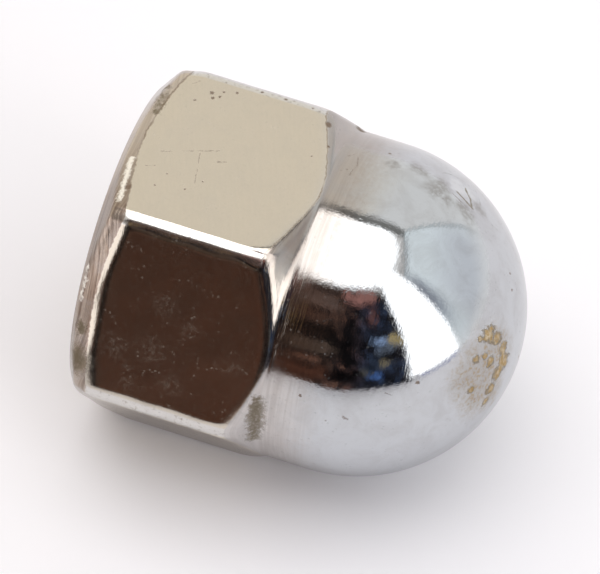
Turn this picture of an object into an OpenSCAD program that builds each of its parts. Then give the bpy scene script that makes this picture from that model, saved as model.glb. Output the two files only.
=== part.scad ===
// Cap nut: a hexagon nut whose threaded hole is closed by a polished dome.
// It lies on one of its flats, with its axis along X and its dome towards +X.
// All lengths are in millimetres and all angles are in degrees.

/* [Hexagon] */
// Width across the flats, where the spanner grips
across_flats = 10; // [9:0.1:14]
// Distance from the seat to the foot of the dome's neck
hex_length = 5.9; // [4:0.1:9]
// Radius of the six long edges
long_edge_r = 0.42; // [0.1:0.02:0.9]

/* [Chamfers] */
// Outer diameter of the flat seat that bears on the work
seat_d = 9.2; // [8:0.1:9.8]
// Angle between the seat and the chamfer next to it
seat_chamfer_angle = 40; // [20:1:50]
// Angle between a plane across the nut and the chamfer on the dome's side
dome_chamfer_angle = 40; // [20:1:50]

/* [Dome] */
// Diameter of the dome and of the short neck below it
dome_d = 9.9; // [8:0.1:10.5]
// Height of the straight neck, from its foot to the dome's centre
neck_h = 1.33; // [0.8:0.01:4]
// Radius of the hollow where the neck rises from the chamfer
neck_fillet_r = 0.45; // [0.15:0.01:0.9]

/* [Threaded hole] */
// Nominal diameter of the thread
thread_d = 6; // [4:0.5:6.5]
// Pitch of the thread
thread_pitch = 1; // [0.5:0.05:1.5]
// Depth from the seat to the end of the straight hole
hole_depth = 8.6; // [5:0.1:9]
// Diameter of the countersink at the mouth
mouth_d = 6.6; // [6.1:0.1:8]
// Full angle of the countersink
mouth_angle = 120; // [80:1:130]
// Full angle of the drill's point at the end of the hole
drill_point_angle = 118; // [100:1:140]

/* [Hidden] */
$fn = 96;
chrome_color = [0.77, 0.78, 0.79];

flat_r = across_flats / 2;
neck_r = dome_d / 2;
dome_centre_z = hex_length + neck_h;
overall_length = dome_centre_z + neck_r;

// Each long edge is an arc about a point on the line from the axis to the sharp corner.
edge_centre_x = flat_r - long_edge_r;
edge_centre_r = edge_centre_x / cos(30);
flat_half_width = edge_centre_x * tan(30);
corner_r = edge_centre_r + long_edge_r;
// Each arc stands this much proud of the flats, so that it crosses them cleanly.
arc_rise = 0.0002;

// The turned envelope runs out past the corners, so that it only cuts what stands in its way.
envelope_r = 1.1 * max(corner_r, neck_r);
seat_r = seat_d / 2;
seat_chamfer_rise = (envelope_r - seat_r) * tan(seat_chamfer_angle);
dome_chamfer_drop = (envelope_r - neck_r) * tan(dome_chamfer_angle);

// The hollow's arc touches the neck and the chamfer at the same distance from their corner.
fillet_run = neck_fillet_r * tan((90 - dome_chamfer_angle) / 2);
hex_top = hex_length + fillet_run;

// The hole is drilled to the thread's core diameter.
hole_r = (thread_d - thread_pitch) / 2;
mouth_r = mouth_d / 2;
mouth_slope = 1 / tan(mouth_angle / 2);
mouth_depth = (mouth_r - hole_r) * mouth_slope;
drill_point_h = hole_r / tan(drill_point_angle / 2);
overshoot = 0.5;

// Cross-section of the bar: six flats joined by six arcs.
module hexagon_section() {
    polygon([for (k = [0:5], side = [-1, 1])
        let (turn = 60 * k)
        [flat_r * cos(turn) - side * flat_half_width * sin(turn),
         flat_r * sin(turn) + side * flat_half_width * cos(turn)]]);
    for (k = [0:5])
        rotate(60 * k + 30)
            translate([edge_centre_r, 0])
                circle(r = long_edge_r + arc_rise);
}

// The bar is hexagonal up to the top of the hollow and round above it.
module bar() {
    linear_extrude(hex_top)
        hexagon_section();
    translate([0, 0, hex_top])
        cylinder(r = envelope_r, h = overall_length - hex_top + overshoot);
}

// Quarter of a disc: the dome in half section.
module dome_quarter() {
    translate([0, dome_centre_z])
        intersection() {
            circle(r = neck_r);
            square(neck_r);
        }
}

// Half section of all that is turned on the lathe. A tool with a round nose leaves
// the hollow where the neck rises from the chamfer.
module turned_section() {
    difference() {
        polygon([
            [0, 0],
            [seat_r, 0],
            [envelope_r, seat_chamfer_rise],
            [envelope_r, hex_length - dome_chamfer_drop],
            [neck_r + fillet_run * cos(dome_chamfer_angle),
             hex_length - fillet_run * sin(dome_chamfer_angle)],
            [neck_r + neck_fillet_r, hex_top],
            [neck_r, hex_top],
            [neck_r, dome_centre_z],
            [0, dome_centre_z]
        ]);
        translate([neck_r + neck_fillet_r, hex_top])
            circle(r = neck_fillet_r);
    }
    dome_quarter();
}

// Countersink, core hole and drill point, open at the seat.
module blind_hole() {
    rotate_extrude()
        polygon([
            [0, -overshoot],
            [mouth_r + overshoot / mouth_slope, -overshoot],
            [hole_r, mouth_depth],
            [hole_r, hole_depth],
            [0, hole_depth + drill_point_h]
        ]);
}

// The nut on its seat, with its axis along Z.
module standing_nut() {
    difference() {
        intersection() {
            bar();
            rotate_extrude()
                turned_section();
        }
        blind_hole();
    }
}

// The nut as it lies, on one flat and centred over the origin.
module cap_nut() {
    color(chrome_color)
        translate([-overall_length / 2, 0, flat_r])
            rotate([0, 90, 0])
                standing_nut();
}

cap_nut();
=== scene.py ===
# %% [markdown]
# # A cap nut
# A cap nut is a hexagon nut whose threaded hole is closed by a dome. It covers the end of a bolt, so
# nobody is scratched by the thread. This one is plated and worn, and it lies on one of its flats.
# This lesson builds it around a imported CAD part: first the room and the camera, then the metal body,
# and last what years of use have left on it. Every length in the cells is in millimetres until a mesh
# is made, because that is how a maker thinks of a nut, and Blender's own metres are 1000 times larger.

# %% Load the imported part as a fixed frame
import math

import bmesh
import bpy
import numpy as np
from mathutils import Matrix, Vector


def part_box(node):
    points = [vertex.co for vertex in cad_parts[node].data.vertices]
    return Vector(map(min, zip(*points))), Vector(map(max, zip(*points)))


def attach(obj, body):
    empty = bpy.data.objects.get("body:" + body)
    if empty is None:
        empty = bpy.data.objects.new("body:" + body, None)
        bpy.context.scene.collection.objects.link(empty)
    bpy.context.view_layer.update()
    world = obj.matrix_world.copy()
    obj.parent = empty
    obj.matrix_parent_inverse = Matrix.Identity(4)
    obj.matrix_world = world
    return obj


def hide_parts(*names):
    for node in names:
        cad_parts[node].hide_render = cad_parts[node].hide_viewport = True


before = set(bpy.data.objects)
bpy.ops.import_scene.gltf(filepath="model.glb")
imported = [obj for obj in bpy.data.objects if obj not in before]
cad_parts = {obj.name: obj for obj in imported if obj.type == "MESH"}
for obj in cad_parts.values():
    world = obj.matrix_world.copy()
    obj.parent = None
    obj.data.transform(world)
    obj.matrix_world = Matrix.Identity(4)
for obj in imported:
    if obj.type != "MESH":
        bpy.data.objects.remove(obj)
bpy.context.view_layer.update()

MM = 0.001
low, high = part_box("cap_nut")
across_flats = (high.z - low.z) / MM
length = (high.x - low.x) / MM
seat_x = low.x / MM
axis_height = (low.z + high.z) / 2 / MM
print("the nut is", round(length, 2), "mm long and", round(across_flats, 2), "mm across its flats")


def link_object(name, data):
    """A new object at the origin of the scene."""
    made = bpy.data.objects.new(name, data)
    bpy.context.scene.collection.objects.link(made)
    return made

# %% [markdown]
# ## The camera
# A long lens from far off keeps the six flats nearly parallel, as in a catalogue of small parts. The
# camera is placed by two angles around the nut, a distance and a small roll, because those four
# numbers say what is seen better than a position does. Azimuth 0 looks from the front (-Y).

# %% Place the camera
CAMERA_AZIMUTH, CAMERA_ELEVATION, CAMERA_ROLL = 15.6, 54.3, 4.48
CAMERA_DISTANCE = 175.0
CAMERA_AIM = Vector((-0.63, -0.02, axis_height + 0.11))
CAMERA_LENS = 360.0


def toward(azimuth, elevation):
    """Unit vector: x = sin(azimuth) cos(elevation), y = -cos(azimuth) cos(elevation), z = sin(elevation)."""
    a, e = math.radians(azimuth), math.radians(elevation)
    return Vector((math.sin(a) * math.cos(e), -math.cos(a) * math.cos(e), math.sin(e)))


view = toward(CAMERA_AZIMUTH, CAMERA_ELEVATION)
turn = (-view).to_track_quat("-Z", "Y").to_matrix() @ Matrix.Rotation(math.radians(CAMERA_ROLL), 3, "Z")
camera = link_object("camera", bpy.data.cameras.new("camera"))
camera.data.lens = CAMERA_LENS
camera.data.sensor_width = 36.0
camera.data.clip_start = 0.01
camera.data.dof.use_dof = False
camera.matrix_world = Matrix.Translation((CAMERA_AIM + view * CAMERA_DISTANCE) * MM) @ turn.to_4x4()
bpy.context.scene.camera = camera
bpy.context.scene.view_settings.view_transform = "Standard"
print("camera at", [round(c / MM, 1) for c in camera.location], "mm")

# %% [markdown]
# ## Helpers for node trees
# Materials and the room are node trees. A node is a small step of arithmetic, and a tree of a hundred
# of them is easier to write as formulas. These helpers make a node, or a short chain of them, and
# return its output, so a pattern reads from the inside out, like a sum.

# %% Node helpers


class Tree:
    """Writes formulas into one node tree."""

    def __init__(self, tree):
        self.tree = tree

    def put(self, kind, inputs=(), out=0, **settings):
        """One node of that kind with its settings, its inputs by name or number, and its output."""
        node = self.tree.nodes.new(kind)
        for name, value in settings.items():
            setattr(node, name, value)
        for key, value in dict(inputs).items():
            if isinstance(value, bpy.types.NodeSocket):
                self.tree.links.new(value, node.inputs[key])
            elif value is not None:
                node.inputs[key].default_value = value
        return node.outputs[out] if node.outputs else node

    def math(self, operation, first, *others):
        """One result from one value or more, taken two at a time."""
        for other in others or (None,):
            first = self.put("ShaderNodeMath", {0: first, 1: other}, operation=operation)
        return first

    def add(self, *values):
        return self.math("ADD", *values)

    def sub(self, *values):
        return self.math("SUBTRACT", *values)

    def mul(self, *values):
        return self.math("MULTIPLY", *values)

    def most(self, *values):
        """The largest of several values."""
        return self.math("MAXIMUM", *values)

    def vec(self, operation, a, b=None, out=0, scale=None):
        return self.put("ShaderNodeVectorMath", {0: a, 1: b, "Scale": scale}, out, operation=operation)

    def split(self, vector):
        """The three parts of a vector."""
        return self.put("ShaderNodeSeparateXYZ", {0: vector}).node.outputs[:]

    def join(self, x, y, z):
        return self.put("ShaderNodeCombineXYZ", {0: x, 1: y, 2: z})

    def step(self, value, start, end):
        """0 before start, 1 after end, and a smooth rise between them."""
        limits = {0: value, 1: start, 2: end, 3: 0.0, 4: 1.0}
        return self.put("ShaderNodeMapRange", limits, interpolation_type="SMOOTHSTEP")

    def band(self, value, start, end, soft):
        """1 between start and end, 0 outside, with soft edges."""
        rise = self.step(value, start - soft, start + soft)
        fall = self.step(value, end + soft, end - soft)
        return self.mul(rise, fall)

    def mix(self, factor, a, b):
        """Colour a where factor is 0, colour b where it is 1."""
        return self.put("ShaderNodeMix", {0: factor, 6: a, 7: b}, out=2, data_type="RGBA")

    def lay(self, colour, *layers):
        """A colour with layers over it, each a mask and its own colour, one after the other."""
        for mask, over in layers:
            colour = self.mix(mask, colour, over)
        return colour

    def weigh(self, value, *parts):
        """A value plus each pattern times its weight."""
        for pattern, weight in parts:
            value = self.add(value, self.mul(pattern, weight))
        return value

    def noise(self, vector, scale, detail=3.0, rough=0.5, distortion=0.0, out=0):
        looks = {"Scale": scale, "Detail": detail, "Roughness": rough, "Distortion": distortion}
        return self.put("ShaderNodeTexNoise", {"Vector": vector, **looks}, out)


def linear(red, green, blue):
    """A colour given as 0 to 255 numbers, as light (the sRGB curve undone)."""
    parts = np.array([red, green, blue]) / 255
    light = np.where(parts > 0.04045, ((parts + 0.055) / 1.055) ** 2.4, parts / 12.92)
    return tuple(float(v) for v in light) + (1.0,)


def fresh_tree(owner):
    """The emptied node tree of a world or a material, to write in."""
    owner.use_nodes = True
    owner.node_tree.nodes.clear()
    return Tree(owner.node_tree)


WHITE = (1.0, 1.0, 1.0, 1.0)
print("node helpers ready")

# %% [markdown]
# ## The room that the nut mirrors
# Bright plating has almost no colour of its own: what is seen in it is the room. So the room is built
# first. It is a white light tent: a soft box overhead, grey-white cards behind and at the sides, one
# tall light, and an open front where a dark room shows. Cards could be planes with a glowing
# material, but the world's own shader is simpler and has no noise: it knows the direction of a ray,
# and a card is a rectangle on an upright plane that faces the nut. For a plane one unit away, the ray
# meets it at u = sideways / forwards and v = up / forwards. The camera itself sees plain white.

# %% Cards of the tent
# name, direction it stands in, u from and to, v from and to, softness of u and v, colour from 0 to
# 255, strength
CARDS = [
    ("rail above the back card", 180, -0.75, 9.0, -0.6, 2.36, 0.03, 0.05, (127, 126, 123), 1.0),
    ("back card", 180, -0.75, 9.0, -0.6, 1.78, 0.03, 0.14, (232, 231, 229), 1.0),
    ("back card, cream end", 205, -0.35, 9.0, -0.6, 1.72, 0.35, 0.12, (233, 228, 218), 1.0),
    ("rail above the side card", 115, -0.60, 0.60, -0.6, 1.93, 0.03, 0.06, (160, 166, 168), 1.0),
    ("frame of the side card", 115, 0.40, 0.625, -0.02, 1.80, 0.02, 0.06, (172, 178, 178), 1.0),
    ("side card", 115, -0.60, 0.575, -0.6, 1.76, 0.02, 0.08, (240, 247, 249), 1.0),
    ("side card, far end", 115, -0.30, 0.56, -0.6, 0.75, 0.20, 0.45, (214, 217, 222), 1.0),
    ("bright feet of the cards", 115, -0.75, 9.0, -0.6, 0.02, 0.10, 0.16, (240, 240, 242), 1.0),
    ("bright foot at the back", 180, -9.0, 9.0, -0.6, 0.10, 0.10, 0.40, (242, 241, 240), 1.0),
    ("side card, shaded end", 88, -0.16, 0.10, 0.35, 1.50, 0.13, 0.40, (138, 143, 154), 1.0),
    ("open front, high", 10, -1.50, 0.85, 0.85, 2.35, 0.10, 0.42, (62, 50, 45), 1.0),
    ("open front, low", 10, -0.90, 0.86, -0.30, 1.60, 0.06, 0.30, (62, 50, 45), 1.0),
    ("left light", -62, -0.28, 0.62, -0.20, 0.37, 0.03, 0.12, (253, 248, 248), 1.36),
    ("dark corner", 24, -0.40, 0.50, -0.30, 1.70, 0.14, 0.20, (30, 30, 35), 1.0),
    ("tall light", 67.5, -0.30, 0.315, -0.012, 3.2, 0.03, 0.02, (255, 255, 255), 1.9),
    ("its blue foot", 67.5, -0.20, 0.30, -0.09, -0.035, 0.04, 0.015, (112, 124, 190), 1.0),
]
CEILING, CEILING_TILT = (2.25, 2.25, 2.25, 1.0), 7.0
LEFT_SIDE = linear(204, 200, 196)
# clutter in the dark room: its colours on the left, on the right and in its gaps
CLUTTER_LEFT, CLUTTER_RIGHT, CLUTTER_GAP = linear(112, 80, 66), linear(50, 62, 84), linear(18, 15, 16)
CLUTTER_COVER = 0.9

# things seen in the dark room: azimuth, elevation, half width, half height, colour
ROOM_SPOTS = [
    (-22, 12, 9, 34, (24, 20, 19)),
    (-4, 26, 20, 14, (26, 22, 21)),
    (-8, 4, 9, 8, (73, 47, 37)),
    (-22, 36, 5, 12, (140, 118, 84)),
    (-8, 22, 12, 5, (84, 70, 62)),
    (-20, 52, 16, 6, (96, 80, 74)),
    (18, 60, 24, 6, (158, 112, 104)),
    (33, 50, 7, 8, (112, 78, 75)),
    (12, 32, 8, 24, (20, 18, 19)),
    (36, 30, 8, 3.0, (140, 162, 196)),
    (46, 29, 6, 5, (166, 148, 104)),
    (38, 24, 8, 4, (96, 104, 116)),
    (35, 15, 6, 4, (134, 122, 96)),
    (24, 10, 4, 4, (110, 105, 92)),
    (30, 7, 4.5, 4, (78, 112, 172)),
    (28, 14, 9, 8, (44, 52, 66)),
    (11, 6, 12, 6, (14, 12, 13)),
]

# %% Build the world
world = bpy.data.worlds.new("tent")
bpy.context.scene.world = world
t = fresh_tree(world)
ray = t.vec("NORMALIZE", t.put("ShaderNodeTexCoord", out="Generated"))
dx, dy, dz = t.split(ray)
azimuth = t.math("DEGREES", t.math("ARCTAN2", dx, t.mul(dy, -1.0)))
elevation = t.math("DEGREES", t.math("ARCSINE", dz))
wobble = t.noise(t.join(azimuth, elevation, 0.0), 0.09, detail=4.0)
overhead = t.vec("DOT_PRODUCT", ray, tuple(toward(-90, 90 - CEILING_TILT)), out=1)
overhead = t.math("DEGREES", t.math("ARCSINE", overhead))
room = t.mix(t.step(overhead, 66, 57), CEILING, LEFT_SIDE)
for _, facing, u0, u1, v0, v1, u_soft, v_soft, colour, strength in CARDS:
    forwards = t.vec("DOT_PRODUCT", ray, tuple(toward(facing, 0)), out=1)
    ahead = t.most(forwards, 0.001)
    u = t.math("DIVIDE", t.vec("DOT_PRODUCT", ray, tuple(toward(facing + 90, 0)), out=1), ahead)
    v = t.math("DIVIDE", dz, ahead)
    mask = t.mul(t.band(u, u0, u1, u_soft), t.band(v, v0, v1, v_soft), t.step(forwards, 0.0, 0.02))
    room = t.mix(mask, room, tuple(strength * c for c in linear(*colour)[:3]) + (1.0,))
clutter = t.noise(t.join(t.mul(azimuth, 0.26), t.mul(elevation, 0.13), 0.0), 1.0, detail=4.0, rough=0.8)
in_front = t.mul(t.band(azimuth, -30, 52, 4.0), t.band(elevation, -12, 58, 10.0))
things = t.mix(t.step(azimuth, 9, 26), CLUTTER_LEFT, CLUTTER_RIGHT)
room = t.lay(room, (t.mul(in_front, t.step(clutter, 0.50, 0.60), CLUTTER_COVER), things),
             (t.mul(in_front, t.step(clutter, 0.46, 0.38), CLUTTER_COVER), CLUTTER_GAP))
for a, e, half_a, half_e, colour in ROOM_SPOTS:
    across = t.math("DIVIDE", t.sub(azimuth, a), half_a)
    upward = t.math("DIVIDE", t.sub(elevation, e), half_e)
    far = t.math("SQRT", t.add(t.mul(across, across), t.mul(upward, upward)))
    far = t.add(far, t.mul(t.sub(wobble, 0.5), 2.8))
    room = t.mix(t.step(far, 1.15, 0.35), room, linear(*colour))
shade = t.add(0.35, t.step(clutter, 0.38, 0.58), t.mul(t.step(clutter, 0.62, 0.68), 1.2))
room = t.mix(t.mul(in_front, CLUTTER_COVER), room, t.vec("SCALE", room, scale=shade))
path = t.put("ShaderNodeLightPath").node
seen = t.mix(path.outputs["Is Camera Ray"], room, WHITE)
t.put("ShaderNodeOutputWorld", {"Surface": t.put("ShaderNodeBackground", {"Color": seen, "Strength": 1.0})})
print(len(CARDS), "cards and", len(ROOM_SPOTS), "spots in the room")

# %% [markdown]
# ## The paper underneath
# The nut lies on a sheet of white paper. The paper is flat and needs no detail, but it has an edge:
# in front it ends after a hand's width, and the plating mirrors the dark room just below the horizon
# there. Its own colour is a little under white, and it is painted darker towards that edge: a painted
# shade for the soft box's light falling off with distance. Only what the camera sees of it is whiter,
# with a small glow, which puts no more light on the nut, so the soft shadow stays.

# %% Lay the paper
PAPER_TURN = -28.0
PAPER_FRONT, PAPER_BACK, PAPER_LEFT, PAPER_RIGHT = 70.0, 400.0, 400.0, 150.0
# its colour under the nut, its painted shade near its front edge, and as the camera sees it
PAPER_NEAR, PAPER_PAINTED_SHADE, PAPER_SEEN = (0.85, 0.832, 0.858, 1.0), (0.54, 0.525, 0.545, 1.0), (0.985, 0.962, 0.992, 1.0)
PAPER_GLOW = 0.04


def paper_corners():
    """Four corners of a rectangle, turned about the nut by PAPER_TURN degrees."""
    a = math.radians(PAPER_TURN)
    turn = np.array([[math.cos(a), -math.sin(a)], [math.sin(a), math.cos(a)]])
    x, y = (-PAPER_LEFT, PAPER_RIGHT), (-PAPER_FRONT, PAPER_BACK)
    flat = np.array([[x[0], y[0]], [x[1], y[0]], [x[1], y[1]], [x[0], y[1]]])
    return np.column_stack([flat @ turn.T, np.zeros(4)]) * MM


sheet_mesh = bpy.data.meshes.new("paper")
sheet_mesh.from_pydata(paper_corners().tolist(), [], [(0, 1, 2, 3)])
paper = link_object("paper", sheet_mesh)

paper_finish = bpy.data.materials.new("white_paper")
t = fresh_tree(paper_finish)
spot = t.vec("SCALE", t.put("ShaderNodeTexCoord", out="Object"), scale=1 / MM)
to_front = t.vec("DOT_PRODUCT", spot, tuple(toward(-15, 0)), out=1)
to_camera = t.put("ShaderNodeLightPath").node.outputs["Is Camera Ray"]
# the paper is painted darker from 8 to 60 mm towards its front edge: a painted shade for the soft box's light
# falling off
shade = t.lay(PAPER_NEAR, (t.step(to_front, 8, 60), PAPER_PAINTED_SHADE), (to_camera, PAPER_SEEN))
matt = t.put("ShaderNodeBsdfDiffuse", {"Color": shade})
glow = t.put("ShaderNodeEmission", {"Color": WHITE, "Strength": t.mul(to_camera, PAPER_GLOW)})
t.put("ShaderNodeOutputMaterial", {"Surface": t.put("ShaderNodeAddShader", {0: matt, 1: glow})})
paper.data.materials.append(paper_finish)
print("the paper reaches", PAPER_FRONT, "mm to the front")

# %% [markdown]
# ## The hexagonal bar
# A nut like this starts as a hexagonal bar, and the bar's long edges are rounded, because it was
# drawn through a die. Seen along its axis, the outline is six flats joined by six small arcs. One
# column of mesh points runs along the bar at each angle. The columns are wide apart on the flats and
# crowded on the arcs, since a mirror-bright edge shows every missing point.

# %% The outline of the bar
EDGE_R, SEAT_CORNER_R, NECK_CORNER_R = 0.42, 0.46, 0.78
FLAT_STEPS, EDGE_STEPS = 44, 12
# where the edges' larger radii start and end along the bar: at the seat and at the neck
SEAT_ROUND, NECK_ROUND = (1.80, 1.10), (4.30, 5.15)
apothem = across_flats / 2


def column_angles():
    """Angles of the columns. On a flat the steps grow closer towards the edges, by
    x = half * (1.25 t - 0.25 t^3) for t from -1 to 1; then even steps go round each edge's arc."""
    half = (apothem - EDGE_R) * math.tan(math.pi / 6)
    t = np.linspace(-1, 1, FLAT_STEPS + 1)[:-1]
    on_flat = np.arctan2(half * (1.25 * t - 0.25 * t**3), apothem)
    centre = (apothem - EDGE_R) / math.cos(math.pi / 6)
    swing = np.linspace(-math.pi / 6, math.pi / 6, EDGE_STEPS + 1)[:-1]
    on_edge = math.pi / 6 + np.arctan2(EDGE_R * np.sin(swing), centre + EDGE_R * np.cos(swing))
    sector = np.concatenate([on_flat, on_edge])
    return (sector[None, :] + np.arange(6)[:, None] * math.pi / 3).ravel()


def bar_radius(angle, edge_r):
    """Distance from the axis to the bar's side: apothem / cos(a) on a flat, where a is the angle from
    the middle of the nearest flat, and the far crossing of the edge's circle near a corner."""
    a = np.abs(np.mod(angle + math.pi / 6, math.pi / 3) - math.pi / 6)
    centre = (apothem - edge_r) / math.cos(math.pi / 6)
    off = math.pi / 6 - a
    arc = centre * np.cos(off) + np.sqrt(np.maximum(edge_r**2 - (centre * np.sin(off)) ** 2, 0))
    tangent = np.arctan2((apothem - edge_r) * math.tan(math.pi / 6), apothem)
    return np.where(a > tangent, arc, apothem / np.cos(a))


def rise(x):
    """0 below 0, 1 above 1, and 3x^2 - 2x^3 between them."""
    x = np.clip(x, 0, 1)
    return x * x * (3 - 2 * x)


def edge_radius(along):
    """The edges' radius, larger near both ends of the bar, where the corners have been knocked round."""
    at_seat, at_neck = (rise((along - start) / (end - start)) for start, end in (SEAT_ROUND, NECK_ROUND))
    return EDGE_R + (SEAT_CORNER_R - EDGE_R) * at_seat + (NECK_CORNER_R - EDGE_R) * at_neck


angles = column_angles()
side = bar_radius(angles, EDGE_R)
fold = np.abs(np.mod(angles + math.pi / 6, math.pi / 3) - math.pi / 6)
cornerness = rise((side - apothem) / (side.max() - apothem))
print(len(angles), "columns; the corners are", round(2 * side.max(), 2), "mm apart")

# %% [markdown]
# ## What the lathe cuts
# The lathe turns the bar's ends: a flat seat, a chamfer that takes the corners off next to it, a
# chamfer on the dome's side, a small hollow where the neck rises, and the dome. A chamfer is a cone,
# and where a cone meets a flat it leaves the curved face ends of a nut. Cutting with a boolean would
# leave long thin triangles there, which a mirror finish shows at once. Instead each column's own
# profile is worked out: every corner is a ball that touches both neighbours, so the rows of the mesh
# follow the curved edges by themselves.

# %% Sizes of the turned profile
MOUTH_R, SEAT_R = 3.3, 4.6
SEAT_RINGS = (MOUTH_R, 3.32, 3.6, 4.0, 4.3, 4.45)
SEAT_EDGE_R, FACE_END_R = 0.13, 0.72
FACE_TOP_R = 0.35 + 0.25 * cornerness
CHAMFER = math.radians(40.0)
# the seat's chamfer leans back by up to this, and starts to within this distance of its rim
CHAMFER_EASE, EASE_START = 0.40, 0.12
HEX_LENGTH, NECK_R, HOLLOW_R = 5.9, 4.95, 0.45
DOME_START = length - NECK_R
RIM_STEPS, CHAMFER_ROWS, BALL_STEPS, HOLLOW_STEPS, NECK_ROWS = 5, 3, 9, 12, 9
print("the hexagon is", HEX_LENGTH, "mm long and the dome starts", round(DOME_START, 2), "mm from the seat")

# %% Arcs and runs of the profile


def arc(centre_r, centre_a, radius, start, end, steps):
    """Points centre + radius * (sin n, -cos n) for normals n from start to end; n = 0 points down the
    axis towards the seat and n = 90 degrees straight out. Shape: rows, columns, (radius, along)."""
    n = (start + (end - start) * np.linspace(0, 1, steps + 1)[:, None]) * np.ones_like(side)
    return np.stack([centre_r + radius * np.sin(n), centre_a - radius * np.cos(n)], -1)


def run(first, last, steps):
    """Points spaced evenly on the straight line between two rows, both ends left out."""
    share = np.linspace(0, 1, steps + 2)[1:-1, None, None]
    return first[None] * (1 - share) + last[None] * share


def seat_end():
    """Seat plane, its rounded rim, the chamfer, and the ball that rounds chamfer into flat. Past the
    seat's radius the rows are moved towards the seat by ease * x^2 / (x + 0.12), x being the excess;
    the ease is largest in front, where 0.45 + 0.55 cos(angle + 60 degrees) is one."""
    radii = np.array(SEAT_RINGS)[:, None] * np.ones_like(side)
    plane = np.stack([radii, np.zeros_like(radii)], -1)
    tangent = SEAT_EDGE_R * math.tan(CHAMFER / 2)
    rim = arc(SEAT_R - tangent, SEAT_EDGE_R, SEAT_EDGE_R, 0, CHAMFER, RIM_STEPS)
    ball_r = bar_radius(angles, SEAT_CORNER_R) - FACE_END_R
    touch = (ball_r + FACE_END_R * math.sin(CHAMFER) - SEAT_R) * math.tan(CHAMFER)
    ball_a = touch + FACE_END_R * math.cos(CHAMFER)
    ball = arc(ball_r, ball_a, FACE_END_R, CHAMFER, math.pi / 2, BALL_STEPS)
    rows = np.concatenate([plane, rim, run(rim[-1], ball[0], CHAMFER_ROWS), ball])
    outer = np.maximum(rows[..., 0] - SEAT_R, 0)
    ease = CHAMFER_EASE * (0.45 + 0.55 * np.maximum(np.cos(angles + math.pi / 3), 0))
    rows[..., 1] -= ease * outer**2 / (outer + EASE_START)
    return rows


def neck_end():
    """The ball that rounds flat into the dome-side chamfer or straight into the hollow, what is left of
    the chamfer, and the hollow. Beyond its touching point the profile is followed by its own length s:
    negative on the cone, positive on the hollow's arc."""
    reach = HOLLOW_R * math.tan((math.pi / 2 - CHAMFER) / 2)
    hollow_r, hollow_a = NECK_R + HOLLOW_R, HEX_LENGTH + reach
    cone_end = NECK_R + reach * math.cos(CHAMFER)
    ball_r = bar_radius(angles, NECK_CORNER_R) - FACE_TOP_R
    on_cone = ball_r + FACE_TOP_R * math.sin(CHAMFER) > cone_end
    line_a = HEX_LENGTH - (ball_r - NECK_R) * math.tan(CHAMFER) - FACE_TOP_R / math.cos(CHAMFER)
    both = HOLLOW_R + FACE_TOP_R
    arc_a = hollow_a - np.sqrt(np.maximum(both**2 - (hollow_r - ball_r) ** 2, 0))
    ball_a = np.where(on_cone, line_a, arc_a)
    lean = np.where(on_cone, CHAMFER, np.arctan2(hollow_r - ball_r, hollow_a - ball_a))
    ball = arc(ball_r, ball_a, FACE_TOP_R, math.pi / 2, math.pi - lean, BALL_STEPS)
    s_cone = -(ball[-1, :, 0] - cone_end) / math.cos(CHAMFER)
    s0 = np.where(on_cone, s_cone, (lean - CHAMFER) * HOLLOW_R)
    s1 = (math.pi / 2 - CHAMFER) * HOLLOW_R
    s = s0 + (s1 - s0) * np.linspace(0, 1, HOLLOW_STEPS + 1)[1:, None]
    beta = CHAMFER + np.maximum(s, 0) / HOLLOW_R
    r = hollow_r - HOLLOW_R * np.sin(beta) + np.maximum(-s, 0) * math.cos(CHAMFER)
    a = hollow_a - HOLLOW_R * np.cos(beta) - np.maximum(-s, 0) * math.sin(CHAMFER)
    return np.concatenate([ball, np.stack([r, a], -1)])


def dome_end(first, rows=84):
    """The straight neck, then radius = R cos(e), along = start + R sin(e) for e from 0 to 90 degrees."""
    e = np.linspace(0, math.pi / 2, rows + 1)[:-1, None] * np.ones_like(side)
    dome = np.stack([NECK_R * np.cos(e), DOME_START + NECK_R * np.sin(e)], -1)
    return np.concatenate([run(first, dome[0], NECK_ROWS), dome])


def face_between(first, last, steps=26):
    """Rows from the seat's ball to the neck's at the bar's own radius, closer together near both, by
    x = half * (1.35 t - 0.35 t^3)."""
    t = np.linspace(-1, 1, steps + 2)[1:-1, None]
    middle, half = (first[:, 1] + last[:, 1]) / 2, (last[:, 1] - first[:, 1]) / 2
    along = middle + half * (1.35 * t - 0.35 * t**3)
    return np.stack([bar_radius(angles, edge_radius(along)), along], -1)


seat_rows, neck_rows = seat_end(), neck_end()
face_rows = face_between(seat_rows[-1], neck_rows[0])
outside = np.concatenate([seat_rows, face_rows, neck_rows, dome_end(neck_rows[-1])])
first, last = len(seat_rows), len(seat_rows) + len(face_rows)
print("outer profile:", outside.shape[0], "rows of", outside.shape[1], "points")

# %% [markdown]
# ## Rubbed edges
# On a drawing a flat is flat right up to its edge. On a nut that was barrel-polished it dips a little
# before it gets there, by a few hundredths of a millimetre, and a mirror shows that as a dark band
# beside the bright edge. So each border gets a dip that starts a sixth to a third of a millimetre
# inside it, steepens up to the border, like the side of a pillow, and dies out on the other side. The
# dip is measured along the radius, and slow waves make it uneven. The top flat was rubbed least.

# %% Dip the faces near their borders
# first and last are the rows where the flats start and end
# slope at the border and width in millimetres of each dip
SEAT_DIP, NECK_DIP, EDGE_DIP = (0.29, 0.36), (0.13, 0.20), (0.18, 0.15)
# the share of them that is left on the top flat: beside its ends and beside its long edges
TOP_ENDS, TOP_EDGES = 0.55, 0.15
# the neck ball's turn in radians, and distances that stand for far past a border and far inside it
NECK_TURN, FAR_PAST, FAR_INSIDE = 0.7, 9.0, -3.0


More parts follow.
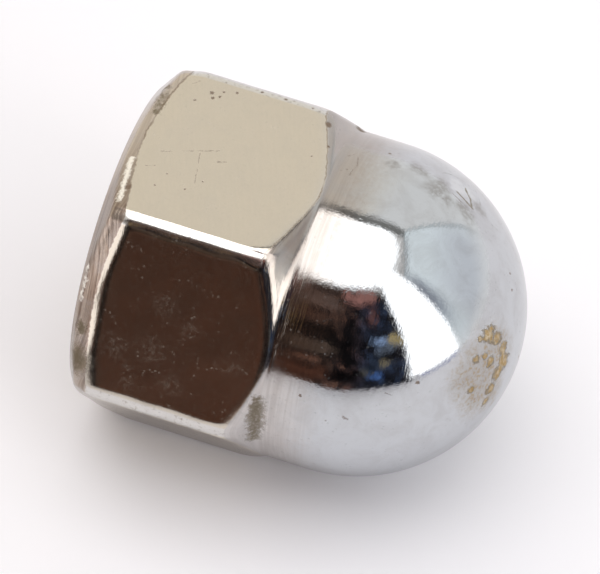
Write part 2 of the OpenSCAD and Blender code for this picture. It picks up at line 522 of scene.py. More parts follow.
def dip(inside, tilt, width):
    """tilt * width * 2/3 * (1 - x)^1.5 for x = distance / width inside the border, so that the slope
    there is tilt * sqrt(1 - x), and past it tilt * width * (2/3 + x - x^2 / 2), up to x = 1."""
    within, past = np.clip(1 - inside / width, 0, 1), np.clip(-inside / width, 0, 1)
    return tilt * width * (within**1.5 * 2 / 3 + past - past**2 / 2)


def waves(angle, along, seed):
    """A slow unevenness between about 0.6 and 1.4: sines of several lengths that don't repeat."""
    total = np.sin(7.3 * angle + 1.9 * along + seed) + np.sin(13.1 * angle - 3.7 * along + 2.3 * seed)
    return 1 + 0.13 * (total + np.sin(4.9 * along + 5.2 * angle + 1.1 * seed))


def held(start, full, stop, gone):
    """By rows: 0 up to start, 1 from full, 1 up to stop and 0 from gone."""
    return rise((level - start) / (full - start)) * rise((gone - level) / (gone - stop))


def left_on_top(share, start, full):
    """The share on the top flat up to start degrees from its middle, 1 from full degrees on."""
    return share + (1 - share) * rise((np.degrees(np.abs(angles)) - start) / (full - start))


along = outside[..., 1]
level = np.arange(outside.shape[0])[:, None]
ball = np.linspace(1, 0, BALL_STEPS + 1)[:, None]
before, after = (np.full((rows - len(ball), 1), FAR_PAST) for rows in (first, len(level) - last))
past_seat = np.concatenate([before, ball]) * FACE_END_R * (math.pi / 2 - CHAMFER)
past_neck = np.concatenate([ball[::-1], after]) * FACE_TOP_R * NECK_TURN
to_seat = np.concatenate([-past_seat * np.ones_like(side), along[first:] - along[first - 1]])
to_neck = np.concatenate([along[last] - along[:last], -past_neck])
half_flat = (apothem - EDGE_R) * math.tan(math.pi / 6)
swing = np.arcsin(np.clip(side * np.sin(math.pi / 6 - fold) / EDGE_R, 0, 0.5))
on_flat = fold < math.atan2(half_flat, apothem)
to_edge = np.where(on_flat, half_flat - side * np.sin(fold), -EDGE_R * (math.pi / 6 - swing))
ends = held(12, 23, last + 8, last + 20) * left_on_top(TOP_ENDS, 24, 32)
edges = held(first - 12, first, last, last + 10) * left_on_top(TOP_EDGES, 28, 34)
dips = [dip(to_seat, *SEAT_DIP) * waves(angles, along, 0.0) * ends,
        dip(to_neck, *NECK_DIP) * waves(angles, along, 1.7) * ends,
        dip(to_edge, *EDGE_DIP) * waves(angles, along, 4.1) * edges]
worn = np.sum(np.array(dips) ** 3, axis=0) ** (1 / 3)
outside[..., 0] -= worn
print("the deepest dip is", round(float(worn.max()), 3), "mm")

# %% [markdown]
# ## A knock in the dome
# At some time the dome was struck from above. The dent is less than a twentieth of a millimetre deep,
# but a mirror turns that into an eye-shaped mark. It is a smooth hollow with a low rim, pushed into
# the grid along the radius, and a second, smaller nick sits in the crease behind the neck.

# %% Push in the dent and the nick
# centre, reach and depth
DENT, NICK = ((3.35, 2.30, 8.74), 0.58, 0.045), ((-0.18, 3.62, 8.43), 0.20, 0.05)


def knock(centre, reach, depth):
    """depth * (1 - 0.9 q) * exp(-1.6 q), with q = (distance / reach)^2: a hollow with a low rim."""
    x, y, z = (outside[..., 1] + seat_x, outside[..., 0] * np.sin(angles), outside[..., 0] * np.cos(angles))
    q = ((x - centre[0]) ** 2 + (y - centre[1]) ** 2 + (z + axis_height - centre[2]) ** 2) / reach**2
    return depth * (1 - 0.9 * q) * np.exp(-1.6 * q)


outside[..., 0] -= knock(*DENT) + knock(*NICK)
print("dented by", DENT[2], "and", NICK[2], "mm")

# %% [markdown]
# ## The thread
# The hole is drilled, countersunk and tapped. A thread is a groove that climbs one pitch each turn, so
# a grid with level rows would saw across its crests. This grid is sheared: each row climbs with the
# thread, and after one turn it meets the row one pitch higher. Rows that would run past the mouth or
# the end of the tapped part are held at that level, and their points are merged afterwards.

# %% The tapped hole
PITCH, CORE_R, ROOT_R = 1.0, 2.5, 3.0
HOLE_DEPTH, TAPPED, RUN_OUT = 8.6, 7.2, 1.1
MOUTH_SLOPE, DRILL_SLOPE = math.tan(math.radians(60.0)), math.tan(math.radians(59.0))
# as parts of a pitch
HALF_CREST, FLANK = 0.125, 0.3125
# where the rows lie within one pitch: in the middle and close beside each corner of the groove
ROWS_IN_PITCH = np.array([0.0, 0.105, 0.145, 0.28, 0.42, 0.455, 0.5, 0.545, 0.58, 0.72, 0.855, 0.895])


def thread_radius(part):
    """Crest a quarter of a pitch wide, root an eighth, straight flanks between, as a function of the
    part of a pitch from the middle of a crest."""
    away = np.abs(np.mod(part + 0.5, 1.0) - 0.5)
    return CORE_R + (ROOT_R - CORE_R) * np.clip((away - HALF_CREST) / FLANK, 0, 1)


def tapped_hole():
    """Rows x = held(s + pitch * (1 - turn)), radius = the larger of thread and countersink. Seen from
    the seat the angles run anticlockwise, so x falls with them: that makes a right-hand thread."""
    turn = np.append(angles - angles[0], 2 * math.pi) / (2 * math.pi)
    pitches = np.arange(-1, math.ceil(HOLE_DEPTH / PITCH))
    s = (pitches[:, None] + ROWS_IN_PITCH).ravel() * PITCH
    s = np.append(s, HOLE_DEPTH + PITCH)[:, None]
    x = np.clip(s + PITCH * (1 - turn), 0, HOLE_DEPTH)
    fade = np.clip((TAPPED + RUN_OUT - x) / RUN_OUT, 0, 1)
    thread = CORE_R + (thread_radius(s / PITCH) - CORE_R) * fade
    radius = np.maximum(thread, MOUTH_R - x * MOUTH_SLOPE)
    return np.stack([radius, x], -1)


def drill_point(first, rows=6):
    """A cone of 118 degrees from the hole's end to the axis, as rows that shrink evenly."""
    share = np.linspace(0, 1, rows + 1)[1:-1, None]
    r = CORE_R * (1 - share) * np.ones(first.shape[0])
    return np.stack([r, HOLE_DEPTH + (CORE_R - r) / DRILL_SLOPE], -1)


hole = tapped_hole()
hole = np.concatenate([hole, drill_point(hole[-1])])
print("hole:", hole.shape[0], "rows; thread M6 x 1, tapped", TAPPED, "mm deep")

# %% [markdown]
# ## One closed skin
# Both grids become one mesh. A grid is turned into space by x = seat + along, y = r sin(angle),
# z = axis height + r cos(angle). The dome's tip and the drill's point are closed with a fan of
# triangles, and the ring at the mouth is shared, so the nut is one watertight skin. Its volume says
# whether the faces point outwards: it must be positive.

# %% Grid to mesh


def place(profile, around):
    """Radius and distance along the axis, at angles around it, as points in millimetres."""
    r, a = profile[..., 0], profile[..., 1]
    return np.stack([seat_x + a, r * np.sin(around), axis_height + r * np.cos(around)], -1)


def quads(rows, columns, closed, start=0):
    """Corner numbers of all quads of a grid; a closed grid's last column meets its first."""
    i, j = np.meshgrid(np.arange(rows - 1), np.arange(columns if closed else columns - 1), indexing="ij")
    here, above, k = i * columns, (i + 1) * columns, (j + 1) % columns
    return start + np.stack([here + j, above + j, above + k, here + k], -1).reshape(-1, 4)


def fan(ring, tip):
    """Triangles from a ring of point numbers to one tip."""
    return np.stack([ring[:-1], np.full(len(ring) - 1, tip), ring[1:]], -1)


outer_points = place(outside, angles)
hole_points = place(hole, np.append(angles, angles[0] + 2 * math.pi))
tip = np.array([[seat_x + length, 0.0, axis_height]])
point = np.array([[seat_x + HOLE_DEPTH + CORE_R / DRILL_SLOPE, 0.0, axis_height]])
n_outer, n_hole = outer_points.shape[0] * len(angles), hole.shape[0] * hole.shape[1]
points = np.concatenate([outer_points.reshape(-1, 3), hole_points.reshape(-1, 3), tip, point])
tip_ring = np.append(np.arange(n_outer - len(angles), n_outer), n_outer - len(angles))
point_ring = np.arange(n_outer + n_hole - hole.shape[1], n_outer + n_hole)
four = np.concatenate([
    quads(outside.shape[0], len(angles), True),
    quads(hole.shape[0], hole.shape[1], False, n_outer)[:, ::-1],
])
three = np.concatenate([fan(tip_ring, n_outer + n_hole), fan(point_ring, n_outer + n_hole + 1)[:, ::-1]])
print(len(points), "points,", 2 * len(four) + len(three), "triangles before merging")

# %% [markdown]
# ## Where each finish lies
# Wear and tool marks follow the surface: turning lines stay on what was turned, and dirt collects just
# past a face's border. The grid knows its rows and columns, so each point is given its distance past
# the border towards the seat, towards the neck and over the nearest long edge, in millimetres along
# the surface. The material reads them as attributes, and any mask is then one comparison.

# %% Distances for the material


def past_border(row, sign):
    """Length along each column's profile from one row, positive away from the face."""
    step = np.sqrt(np.sum(np.diff(outside, axis=0) ** 2, axis=-1))
    run_length = np.concatenate([np.zeros((1, len(angles))), np.cumsum(step, axis=0)])
    return np.clip(sign * (run_length - run_length[row]), FAR_INSIDE, FAR_PAST)


# on the outer skin, and in the hole
distances = {
    "past_seat": (past_border(first, -1), FAR_PAST),
    "past_neck": (past_border(last, 1), FAR_INSIDE),
    "past_edge": (-to_edge * np.ones_like(along), FAR_INSIDE),
    "in_hole": (np.zeros_like(along), 1.0),
}
print("attributes:", ", ".join(distances))

# %% Make the nut
nut_mesh = bpy.data.meshes.new("plated_nut")
nut_mesh.from_pydata((points * MM).tolist(), [], four.tolist() + three.tolist())
for name, (outer, inner) in distances.items():
    values = np.concatenate([outer.ravel(), np.full(len(points) - n_outer, inner)])
    nut_mesh.attributes.new(name, "FLOAT", "POINT").data.foreach_set("value", values.astype(np.float32))

work = bmesh.new()
work.from_mesh(nut_mesh)
bmesh.ops.remove_doubles(work, verts=work.verts, dist=1e-7)
open_edges = sum(1 for e in work.edges if len(e.link_faces) != 2)
volume = work.calc_volume(signed=True) / MM**3
work.to_mesh(nut_mesh)
work.free()
nut_mesh.shade_smooth()
nut = link_object("plated_nut", nut_mesh)
print("nut:", len(nut_mesh.polygons), "faces,", open_edges, "open edges, volume", round(volume, 1), "cubic mm")

# %% [markdown]
# ## Places and zones
# Every pattern below first asks where on the nut a point is. One node group answers in millimetres from
# Object coordinates, which for this nut are the frame's own, so patterns stay on the metal whatever
# moves. A second group turns the distance attributes into zones: the flats, the seat's chamfer, the
# neck, the rubbed edges, and the thin line just past each border where dirt stays. A noise pushes
# every limit about a little, because no polishing wheel stops along a ruled line.

# %% Start a node group


def new_group(name, outputs, inputs=()):
    """A node group, its Tree, its inputs by name, and its end. All sockets but Point are numbers."""
    tree = bpy.data.node_groups.new(name, "ShaderNodeTree")
    for way, sockets in (("INPUT", inputs), ("OUTPUT", outputs)):
        for socket in sockets:
            kind = "NodeSocketVector" if socket == "Point" else "NodeSocketFloat"
            tree.interface.new_socket(socket, in_out=way, socket_type=kind)
    g = Tree(tree)
    start = g.put("NodeGroupInput").node if inputs else None
    return tree, g, {name: start.outputs[name] for name in inputs}, tree.nodes.new("NodeGroupOutput")


def give(g, end, **values):
    """Join results to the group's outputs by name."""
    for name, value in values.items():
        g.tree.links.new(value, end.inputs[name])


def use_group(t, tree, inputs=()):
    """Put a node group into another tree; returns its outputs by name."""
    node = t.tree.nodes.new("ShaderNodeGroup")
    node.node_tree = tree
    for key, value in dict(inputs).items():
        t.tree.links.new(value, node.inputs[key])
    return {socket.name: socket for socket in node.outputs}


PLACE = ("Point", "Along", "Radius")
place_group, g, _, end = new_group("nut_place", PLACE)
point_mm = g.vec("SCALE", g.put("ShaderNodeTexCoord", out="Object"), scale=1 / MM)
px, py, pz = g.split(point_mm)
pz = g.sub(pz, axis_height)
radius = g.math("SQRT", g.add(g.mul(py, py), g.mul(pz, pz)))
give(g, end, Point=point_mm, Along=g.sub(px, seat_x), Radius=radius)
print("group:", place_group.name)

# %% Zones group
ZONES = ("Face", "Chamfer", "Neck", "Edge", "Border", "Turned")
zones_group, g, given, end = new_group("zones", ZONES, ("Point", "Along", "PastSeat", "PastNeck", "PastEdge"))
ragged = g.sub(g.noise(given["Point"], 6.0, detail=3.0, rough=0.65), 0.5)
past_seat = g.add(given["PastSeat"], g.mul(ragged, 0.14))
past_neck = g.add(given["PastNeck"], g.mul(ragged, 0.12))
chamfer = g.step(past_seat, 0.17, 0.22)
past = g.step(past_neck, 0.05, 0.10)
neck = g.mul(past, g.step(g.add(given["Along"], ragged), 7.9, 6.2))
face = g.mul(g.sub(1.0, chamfer), g.sub(1.0, past))
dirty = g.step(g.noise(given["Point"], 0.9, detail=3.0), 0.34, 0.54)
turned = g.most(g.step(given["PastSeat"], 0.15, 0.30),
                g.mul(g.step(given["PastNeck"], 0.0, 0.15), g.step(given["Along"], 6.9, 6.1)))
line = g.most(g.band(past_seat, 0.16, 0.21, 0.03), g.band(past_neck, 0.03, 0.06, 0.025))
edge = g.mul(face, g.step(given["PastEdge"], -0.04, 0.04))
give(g, end, Face=face, Chamfer=chamfer, Neck=neck, Edge=edge, Border=g.mul(line, dirty), Turned=turned)
print("group:", zones_group.name)

# %% [markdown]
# ## Turning lines
# The lathe's tool leaves a fine spiral on everything it turns: the seat, both chamfers and the neck.
# A wave would look like a new record. A noise that changes fast along the profile and slowly around
# the axis gives lines of uneven depth that fade in and out, as real ones do. Heights are in
# millimetres, because the bump's distance is set to one of them: a line two microns deep is 0.002.

# %% Turning lines group
lines_group, g, given, end = new_group("turning_lines", ("Height", "Streak"), PLACE)
qx, qy, qz = g.split(given["Point"])
profile_way = g.add(given["Along"], g.mul(given["Radius"], 0.8))
FINE_DEPTH, BROAD_DEPTH = 0.010, 0.008


def stretched(across, around):
    """The place on the profile and around the axis, each at its own scale."""
    return g.join(g.mul(profile_way, across), g.mul(qy, around), g.mul(qz, around))


fine = g.noise(stretched(11.0, 0.35), 1.0, detail=4.0, rough=0.65)
broad = g.noise(stretched(3.0, 0.25), 1.0, detail=2.0)
streak = g.step(g.add(g.mul(fine, 0.6), g.mul(broad, 0.4)), 0.40, 0.60)
height = g.add(g.mul(g.sub(fine, 0.5), FINE_DEPTH), g.mul(g.sub(broad, 0.5), BROAD_DEPTH))
give(g, end, Height=height, Streak=streak)
print("group:", lines_group.name)

# %% [markdown]
# ## Polish and handling
# The dome was buffed and has been rubbed since. Buffing leaves faint long streaks around the axis, and
# the plating itself has a grain a tenth of a millimetre wide. Both are only a micron or two deep: they
# don't show as relief, only as ragged edges of whatever the metal mirrors. Handling leaves a patchy
# haze and a little dust, which show most where the metal mirrors something dark. The flats also keep
# the fine scratches of the belt that finished them, and those run aslant.

# %% Polish group
POLISH = ("Streaks", "Grain", "Haze", "Swell", "Dust", "Belt")
polish_group, g, given, end = new_group("polish", POLISH, ("Point",))
at = given["Point"]
qx, qy, qz = g.split(at)
around = g.join(g.mul(qx, 9.0), g.mul(qy, 1.3), g.mul(qz, 1.3))
aslant = g.join(g.mul(g.add(qx, g.mul(qy, 0.4)), 14.0), g.mul(qy, 1.2), g.mul(qz, 1.2))
grain = g.noise(at, 9.0, detail=3.0, rough=0.7)
specks = g.put("ShaderNodeTexVoronoi", {"Vector": at, "Scale": 5.5}, out="Distance")
dust = g.mul(g.step(specks, 0.30, 0.10), g.step(g.noise(at, 2.2, detail=3.0), 0.46, 0.68))
give(g, end, Streaks=g.noise(around, 1.0, detail=3.0, rough=0.65), Grain=grain,
     Haze=g.step(g.noise(at, 1.1, detail=5.0, rough=0.68, distortion=0.6), 0.40, 0.70),
     Swell=g.noise(at, 0.55, detail=1.0), Dust=dust, Belt=g.noise(aslant, 1.0, detail=2.0, rough=0.6))
print("group:", polish_group.name)

# %% [markdown]
# ## Marks of use
# Dirt sits in pits and creases, and a nut that lay in a drawer has scratches, dull smears and stains,
# and here a crust of old sealant near the tip. A spot is a ball: near its centre the mask is 1. A
# scratch is a capsule: the distance to a line between two points. The place that they measure is
# first pushed about by a noise, which makes every edge ragged at no extra cost.

# %% Where the marks are
# a spot is its x, y, z and radius, and a line is its two ends and its half width
# small stains and pits
PITS = [
    (-5.44, -1.83, 10.0, 0.11), (-4.32, 2.17, 10.0, 0.06), (-4.24, 2.01, 10.0, 0.05), (-4.06, 2.12, 10.0, 0.04),
    (-4.01, 2.33, 10.0, 0.035), (-3.65, 2.43, 10.0, 0.04), (-4.69, 1.75, 10.0, 0.04), (-0.81, 2.33, 10.0, 0.10),
    (-0.55, 1.58, 10.0, 0.05), (-0.89, 1.07, 10.0, 0.03), (-4.73, -1.52, 10.0, 0.03), (-3.49, -0.93, 10.0, 0.03),
    (-3.88, -1.35, 10.0, 0.03), (-4.54, -1.03, 10.0, 0.025), (-2.26, 2.74, 10.0, 0.05), (-2.99, 2.73, 10.0, 0.05),
    (-2.67, 2.77, 10.0, 0.04), (-1.44, 2.74, 10.0, 0.05), (-0.18, 3.66, 8.41, 0.16), (1.03, 2.49, 9.28, 0.05),
    (5.31, 0.99, 7.47, 0.04), (5.51, 0.61, 7.23, 0.04), (3.99, -3.40, 7.18, 0.06), (0.93, -4.67, 6.65, 0.05),
]
# scratches
SCRATCHES = [
    ((-5.01, -0.34, 10.0), (-3.33, 0.32, 10.0), 0.016), ((-3.91, 0.01, 10.0), (-3.69, -1.05, 10.0), 0.014),
    ((-3.32, -0.10, 10.0), (-3.12, -0.02, 10.0), 0.030), ((-5.23, -0.96, 10.0), (-4.97, -0.86, 10.0), 0.014),
    ((-4.95, 2.30, 10.0), (-4.78, 2.46, 10.0), 0.020), ((0.02, 1.70, 9.66), (0.14, 1.85, 9.60), 0.024),
    ((0.28, 1.80, 9.60), (0.38, 1.45, 9.73), 0.018), ((0.38, 1.45, 9.73), (0.30, 0.90, 9.87), 0.018),
    ((0.02, 1.00, 9.85), (0.18, 1.10, 9.83), 0.024), ((2.62, 2.70, 8.88), (2.94, 2.90, 8.58), 0.018),
    ((2.94, 2.90, 8.58), (3.57, 2.95, 8.15), 0.018), ((3.57, 2.95, 8.15), (3.91, 2.32, 8.38), 0.016),
    ((3.05, 1.95, 9.13), (3.45, 1.80, 8.98), 0.020), ((1.77, -4.80, 6.01), (1.88, -4.80, 5.95), 0.035),
    ((2.22, -4.68, 6.25), (2.40, -4.63, 6.15), 0.035), ((3.10, -4.02, 7.12), (3.42, -3.92, 6.95), 0.016),
]
# dull smears
SMEARS = [
    (-3.46, -4.03, 8.03, 0.30), (-3.6, -4.78, 6.72, 0.42), (-4.09, -5.43, 5.59, 0.22), (-2.81, -5.22, 5.96, 0.30),
    (-4.63, -4.87, 6.56, 0.34), (-1.24, -4.63, 6.99, 0.30), (-4.07, -5.12, 6.13, 0.18), (-2.6, -4.3, 7.55, 0.25),
]
# old grease
GREASE = [
    (-0.30, -4.88, 6.15, 0.15), (-0.30, -4.92, 5.85, 0.24), (-0.30, -4.97, 5.45, 0.28), (-0.29, -4.98, 4.95, 0.26),
    (-0.30, -4.97, 4.40, 0.22), (-5.58, 1.05, 9.84, 0.14), (-5.59, 1.34, 9.82, 0.17), (-5.61, 1.66, 9.77, 0.18),
    (-5.60, 2.00, 9.71, 0.15), (-5.66, -5.10, 5.70, 0.40), (-5.74, -4.66, 6.60, 0.18), (-0.24, 3.50, 8.50, 0.14),
    (-0.32, -4.94, 5.65, 0.24), (-0.28, -4.98, 5.20, 0.25), (-0.32, -4.98, 4.68, 0.21),
]
# brown lines in the dent
BROWN_LINES = [
    ((3.22, 2.16, 8.92), (3.79, 1.88, 8.74), 0.042), ((3.34, 2.61, 8.56), (3.60, 2.28, 8.62), 0.030),
    ((3.60, 2.28, 8.62), (3.74, 1.95, 8.72), 0.030),
]
# painted glints: places on the seat's chamfer painted bright and made rougher, standing in for glints of the lamps
PAINTED_GLINTS = [
    ((-5.88, -3.60, 8.20), (-5.90, -4.15, 7.30), 0.07), ((-5.69, -0.81, 9.90), (-5.51, -2.30, 9.91), 0.085),
    ((-5.80, -2.25, 9.42), (-5.78, -1.95, 9.55), 0.05),
]
# crust of old sealant
CRUST = [
    (5.38, -1.12, 7.28, 0.34), (5.58, -0.96, 6.95, 0.27), (5.88, -1.00, 6.03, 0.32), (5.82, -1.35, 5.87, 0.30),
    (5.80, -0.88, 6.45, 0.24), (5.20, -1.45, 7.38, 0.14), (5.28, -1.90, 6.95, 0.16), (5.74, -1.70, 5.50, 0.24),
    (5.62, -1.50, 6.50, 0.20), (5.33, -2.39, 6.11, 0.14), (5.75, -1.95, 5.10, 0.18), (5.45, -1.60, 6.85, 0.14),
]
# scuffs, darker than the dome about them
SCUFFS = [
    (2.74, 1.95, 9.25, 0.34), (2.66, 1.62, 9.41, 0.28), (3.10, 1.55, 9.28, 0.22), (3.60, 1.60, 9.00, 0.26),
    (3.95, 2.10, 8.48, 0.24), (3.72, 1.50, 8.95, 0.26), (2.00, 2.20, 9.28, 0.30), (1.30, 1.95, 9.48, 0.20),
]
# lighter places in the dent's hollow
LIGHTER_IN_DENT = [(3.22, 2.38, 8.80, 0.26), (3.45, 2.50, 8.60, 0.24), (3.10, 2.70, 8.75, 0.18)]
# dull, cloudy places
CLOUDS = [
    (5.55, -1.60, 6.50, 0.95), (5.60, -1.15, 6.75, 0.60), (5.30, -2.15, 6.50, 0.75), (5.60, -2.05, 5.80, 0.75),
    (5.75, -1.70, 5.20, 0.50),
]
print(len(PITS + SMEARS + GREASE + CRUST + SCUFFS + LIGHTER_IN_DENT + CLOUDS), "spots and", len(SCRATCHES), "scratches")

# %% Marks group
MARKS = ("Pits", "Scratches", "Smears", "Grease", "Scraped", "Crust", "Rind", "Scuffs", "Bare", "Clouds", "Mottle")
marks_group, g, given, end = new_group("marks", MARKS, ("Point",))
at = given["Point"]


def spots(point, places, soft):
    """The largest of several balls' masks: 1 inside, falling to 0 over soft radii about the radius."""
    found = []
    for x, y, z, radius in places:
        away = g.vec("DISTANCE", point, (x, y, z), out=1)
        found.append(g.step(away, radius * (1 + 0.5 * soft), radius * (1 - 0.5 * soft)))
    return g.most(*found)


def scratch(point, start, stop, half_width):
    """1 near the line from start to stop. The nearest point of that line is start + share * way, with
    the share kept between 0 and 1."""
    way = Vector(stop) - Vector(start)
    share = g.vec("DOT_PRODUCT", g.vec("SUBTRACT", point, start), tuple(way / way.length_squared), out=1)
    share = g.most(g.math("MINIMUM", share, 1.0), 0.0)
    nearest = g.vec("ADD", g.vec("SCALE", tuple(way), scale=share), start)
    return g.step(g.vec("DISTANCE", point, nearest, out=1), half_width * 1.6, half_width * 0.3)


def scratches(point, lines):
    """The largest of several lines' masks."""
    return g.most(*[scratch(point, *line) for line in lines])


def pushed(scale, *reaches):
    """The place moved about by a noise of that scale, up to about half of each reach."""
    shove = g.vec("SUBTRACT", g.noise(at, scale, detail=2.0, rough=0.7, out="Color"), (0.5, 0.5, 0.5))
    return [g.vec("ADD", at, g.vec("SCALE", shove, scale=reach)) for reach in reaches]


near, middle, ragged = pushed(7.0, 0.10, 0.24, 0.45)
wide = pushed(2.5, 0.55)[0]
mottle = g.noise(at, 7.0, detail=4.0, rough=0.75)
broken = g.step(g.noise(at, 4.0, detail=2.0), 0.40, 0.55)
laid = spots(near, CRUST, 1.5)
crusted = g.add(laid, g.mul(g.sub(g.noise(at, 5.0, detail=5.0, rough=0.75), 0.5), 2.0))
crusted = g.mul(crusted, g.step(laid, 0.02, 0.20))
greased = g.mul(spots(ragged, GREASE, 1.1), g.add(0.45, g.mul(g.step(mottle, 0.25, 0.55), 0.55)))
give(g, end, Pits=spots(near, PITS, 0.7), Scratches=g.mul(scratches(near, SCRATCHES), broken),
     Smears=g.mul(spots(wide, SMEARS, 1.6), g.step(mottle, 0.42, 0.62)),
     Grease=g.most(greased, scratches(near, BROWN_LINES)),
     # painted glints on the seat's chamfer
     Scraped=g.mul(scratches(middle, PAINTED_GLINTS), g.step(mottle, 0.27, 0.42)),
     Crust=g.step(crusted, 0.52, 0.92), Rind=g.step(crusted, 1.05, 0.75),
     Scuffs=g.mul(spots(wide, SCUFFS, 1.5), g.step(mottle, 0.22, 0.58)), Bare=spots(wide, LIGHTER_IN_DENT, 1.2),
     Clouds=g.mul(spots(wide, CLOUDS, 1.4), g.add(0.45, mottle)), Mottle=mottle)
print("group:", marks_group.name)

# %% [markdown]
# ## Worn plating
# The finish has three metals in it. Chrome, slightly blue, covers the dome. On the flats it has worn
# thin and the nickel under it warms the reflections. On the turned bands it never took well, so they
# are darker and streaked, and the seat's chamfer is darker and more streaked still where it faces
# front. Dirt, grease and crust are not metal at all: where they lie, Metallic drops and Roughness
# rises. Everything that is the same all over the nut is set on the shader itself.

# %% Plating: zones and patterns
plating = bpy.data.materials.new("worn_chrome")
t = fresh_tree(plating)
where = use_group(t, place_group)
attribute = {name: t.put("ShaderNodeAttribute", out="Fac", attribute_name=name) for name in distances}
qx, qy, qz = t.split(where["Point"])
front = t.mul(t.step(qy, 0.4, -3.0), t.step(qz, 3.0, 6.2))
zone = use_group(t, zones_group, {
    "Point": where["Point"], "Along": where["Along"], "PastSeat": t.add(attribute["past_seat"], t.mul(front, 0.16)),
    "PastNeck": attribute["past_neck"], "PastEdge": attribute["past_edge"]})
lines = use_group(t, lines_group, where)
polish = use_group(t, polish_group, {"Point": where["Point"]})
marks = use_group(t, marks_group, {"Point": where["Point"]})
face, edge, chamfer, neck = (zone[name] for name in ("Face", "Edge", "Chamfer", "Neck"))
mottle = marks["Mottle"]
print(len(t.tree.nodes), "nodes for the zones and patterns")

# %% Plating: colours
# as light, each named for what it is on the nut or for the light and shade painted with it
COLOURS = {
    "chrome": (0.668, 0.69, 0.715), "nickel": (0.74, 0.675, 0.577), "belt lines": (0.685, 0.63, 0.54),
    "rubbed edge": (0.78, 0.76, 0.73), "stained edge": (0.34, 0.28, 0.23), "thin plate": (0.68, 0.60, 0.52),
    # darker front plate: the colour of the seat's chamfer where it faces front
    "darker front plate": (0.42, 0.335, 0.27), "streak": (0.17, 0.11, 0.08), "neck": (0.68, 0.60, 0.535),
    # the low neck's colour is a painted lighter tone; the top of the neck and the band near the hollow are painted
    # shade
    "low neck painted lighter": (0.70, 0.67, 0.65), "top of neck painted shade": (0.53, 0.485, 0.45), "painted shade band on neck": (0.39, 0.32, 0.275),
    "haze": (0.46, 0.45, 0.45), "scuff": (0.35, 0.335, 0.32), "lighter in dent": (0.80, 0.82, 0.83),
    # painted glint is the bright colour of the painted glints on the seat's chamfer
    "cloud": (0.42, 0.39, 0.36), "grit": (0.45, 0.35, 0.22), "painted glint": (0.97, 0.92, 0.84),
    "steel": (0.36, 0.31, 0.26), "border": (0.24, 0.17, 0.11), "pit": (0.16, 0.10, 0.06),
    "grease": (0.155, 0.115, 0.06), "ochre": (0.46, 0.29, 0.10), "pale ochre": (0.62, 0.50, 0.33),
    "rind": (0.36, 0.27, 0.17),
}
paint = {name: colour + (1.0,) for name, colour in COLOURS.items()}
print(len(paint), "colours")

# %% Plating: the masks between them
turned = t.most(chamfer, t.mul(neck, t.add(0.45, t.mul(t.step(qy, 1.6, -1.2), 0.55))))
streaked = t.mul(turned, lines["Streak"], t.add(0.22, t.mul(front, chamfer, 0.55)))
# the seat's chamfer is darker where it faces front
darker_front = t.mul(chamfer, front, t.add(0.50, t.mul(mottle, 0.6)))
# painted shade: a band across the front of the neck's start, next to the hollow
neck_shade_band = t.mul(t.band(qy, -2.55, -0.6, 0.40), t.step(where["Along"], 6.0, 5.8))
hazy = t.mul(polish["Haze"], t.sub(1.0, t.mul(face, 0.8)))
border = t.mul(zone["Border"], t.step(qy, -3.0, -2.7))
flecks = t.most(marks["Pits"], t.mul(marks["Scratches"], 0.7))
grit = t.mul(marks["Clouds"], t.step(mottle, 0.48, 0.60))
# the neck is painted lighter low down and darker on top and in that band: painted light and shade for what it
# mirrors, over its plating
neck_metal_painted_light_and_shade = t.lay(paint["neck"], (t.step(qz, 8.0, 6.8), paint["low neck painted lighter"]),
                   (t.step(qy, -2.9, -2.3), paint["top of neck painted shade"]), (neck_shade_band, paint["painted shade band on neck"]))
crust = t.lay(paint["ochre"], (t.step(mottle, 0.44, 0.58), paint["pale ochre"]),
              (t.mul(marks["Rind"], 0.8), paint["rind"]))
print(len(t.tree.nodes), "nodes with the masks")

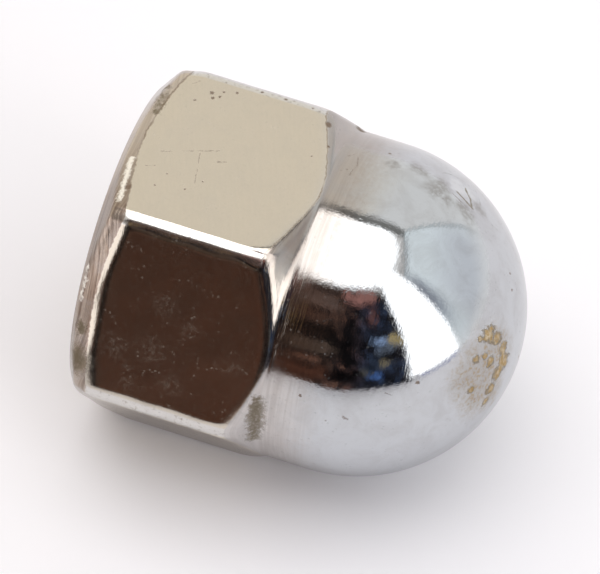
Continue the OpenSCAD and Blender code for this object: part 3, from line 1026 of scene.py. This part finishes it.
# %% Plating: layers, from the clean metal out to the dirt
metal = t.lay(
    paint["chrome"],
    (face, paint["nickel"]),
    (t.mul(face, t.step(polish["Belt"], 0.30, 0.70), 0.25), paint["belt lines"]),
    (edge, paint["rubbed edge"]),
    (t.mul(edge, t.step(mottle, 0.56, 0.68), 0.8), paint["stained edge"]),
    (neck, neck_metal_painted_light_and_shade),
    (chamfer, paint["thin plate"]),
    (darker_front, paint["darker front plate"]),
    (streaked, paint["streak"]),
    (t.mul(hazy, 0.34), paint["haze"]),
    (t.mul(marks["Scuffs"], 0.8), paint["scuff"]),
    # the dent's hollow is painted lighter in places
    (t.mul(marks["Bare"], 0.8), paint["lighter in dent"]),
    (t.mul(marks["Clouds"], 0.75), paint["cloud"]),
    # painted glints: a bright colour on the seat's chamfer that stands in for the lamps' glints
    (marks["Scraped"], paint["painted glint"]),
    (attribute["in_hole"], paint["steel"]),
    (t.mul(border, 0.9), paint["border"]),
    (t.mul(flecks, 0.85), paint["pit"]),
    (t.mul(marks["Grease"], 0.92), paint["grease"]),
    (t.mul(grit, 0.75), paint["grit"]),
    (marks["Crust"], crust),
)
print(len(t.tree.nodes), "nodes with the layers")

# %% Plating: how metallic, how rough, how deep
POLISHED = 0.035  # roughness of the dome
dirt = t.most(t.mul(flecks, 0.7), t.mul(marks["Grease"], 0.85), t.mul(border, 0.4), t.mul(marks["Crust"], 0.97))
film = t.weigh(t.mul(polish["Dust"], 0.16), (marks["Smears"], 0.065),
               (t.mul(face, t.step(polish["Grain"], 0.40, 0.70)), 0.022))
metallic = t.sub(1.0, dirt, film, t.mul(marks["Clouds"], 0.10))
rough = t.weigh(POLISHED, (face, 0.075), (zone["Turned"], 0.09), (edge, 0.05), (hazy, 0.05), (marks["Clouds"], 0.16),
                (marks["Scraped"], 0.40), (attribute["in_hole"], 0.30), (dirt, 0.40))
deep = t.add(t.mul(chamfer, 0.6), t.mul(neck, t.step(qz, 7.0, 8.4), 1.4))
height = t.mul(lines["Height"], zone["Turned"], t.add(0.07, t.mul(front, t.add(0.20, deep))))
height = t.weigh(height, (polish["Streaks"], 0.0022), (polish["Grain"], 0.0020), (polish["Swell"], 0.02),
                 (marks["Pits"], -0.002), (marks["Scratches"], -0.0008), (marks["Clouds"], 0.0012),
                 (marks["Crust"], t.add(0.006, t.mul(mottle, 0.06))))
bump = t.put("ShaderNodeBump", {"Strength": 1.0, "Distance": MM, "Height": height})
shader = t.put("ShaderNodeBsdfPrincipled", {
    "Base Color": metal, "Metallic": metallic, "Roughness": rough, "Normal": bump})
t.put("ShaderNodeOutputMaterial", {"Surface": shader})
nut.data.materials.append(plating)

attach(nut, "root")
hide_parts("cap_nut")
print("the nut's finish has", len(plating.node_tree.nodes), "nodes and 5 groups")
